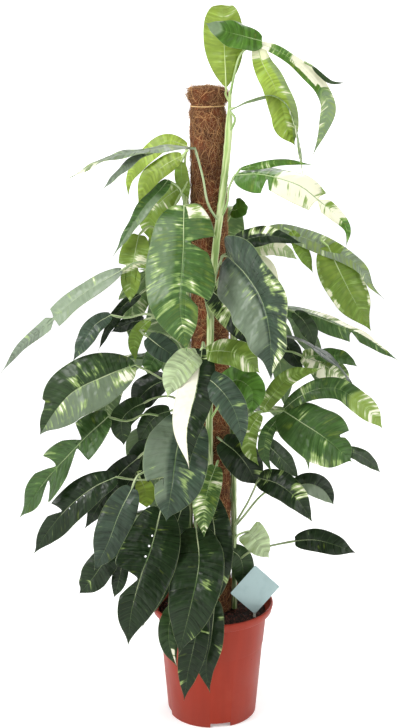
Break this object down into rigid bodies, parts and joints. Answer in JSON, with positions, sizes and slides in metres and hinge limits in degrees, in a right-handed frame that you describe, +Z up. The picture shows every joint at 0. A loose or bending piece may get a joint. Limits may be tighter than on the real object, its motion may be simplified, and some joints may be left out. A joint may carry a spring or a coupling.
{
  "type": "potted variegated epipremnum pinnatum",
  "caption": "Tall climbing aroid house plant with cut, cream-streaked leaves, tied up a coir pole in a round terracotta-coloured nursery pot, with a blank plant tag.",
  "frame": {"origin": "centre of the pot's flat underside, where it meets the floor", "axes": "+Z up along the coir pole, -Y towards the side seen in the picture, +X to the right seen from that side"},
  "size_m": [0.7502, 0.5614, 1.3651],
  "materials": {
    "pot_plastic": "satin moulded polypropylene, terracotta colour",
    "compost": "moist peat and bark crumbs",
    "coir": "matted coconut fibre",
    "pole_wood": "sawn softwood",
    "twine": "golden twisted fibre",
    "foliage": "waxy leaf, green with cream and yellow-green streaks",
    "tag_card": "smooth pale blue-grey card, bare",
    "tag_stake": "pale translucent plastic stick"
  },
  "bodies": {
    "root": {"nursery_pot": "pot_plastic", "potting_compost": "compost", "pole_core": "pole_wood", "coir_pole": "coir", "binding_twine": "twine", "tag_stake": "tag_stake", "tag_card": "tag_card", "vine_front": "foliage", "vine_left": "foliage", "vine_right": "foliage", "vine_back": "foliage"}
  },
  "joints": []
}
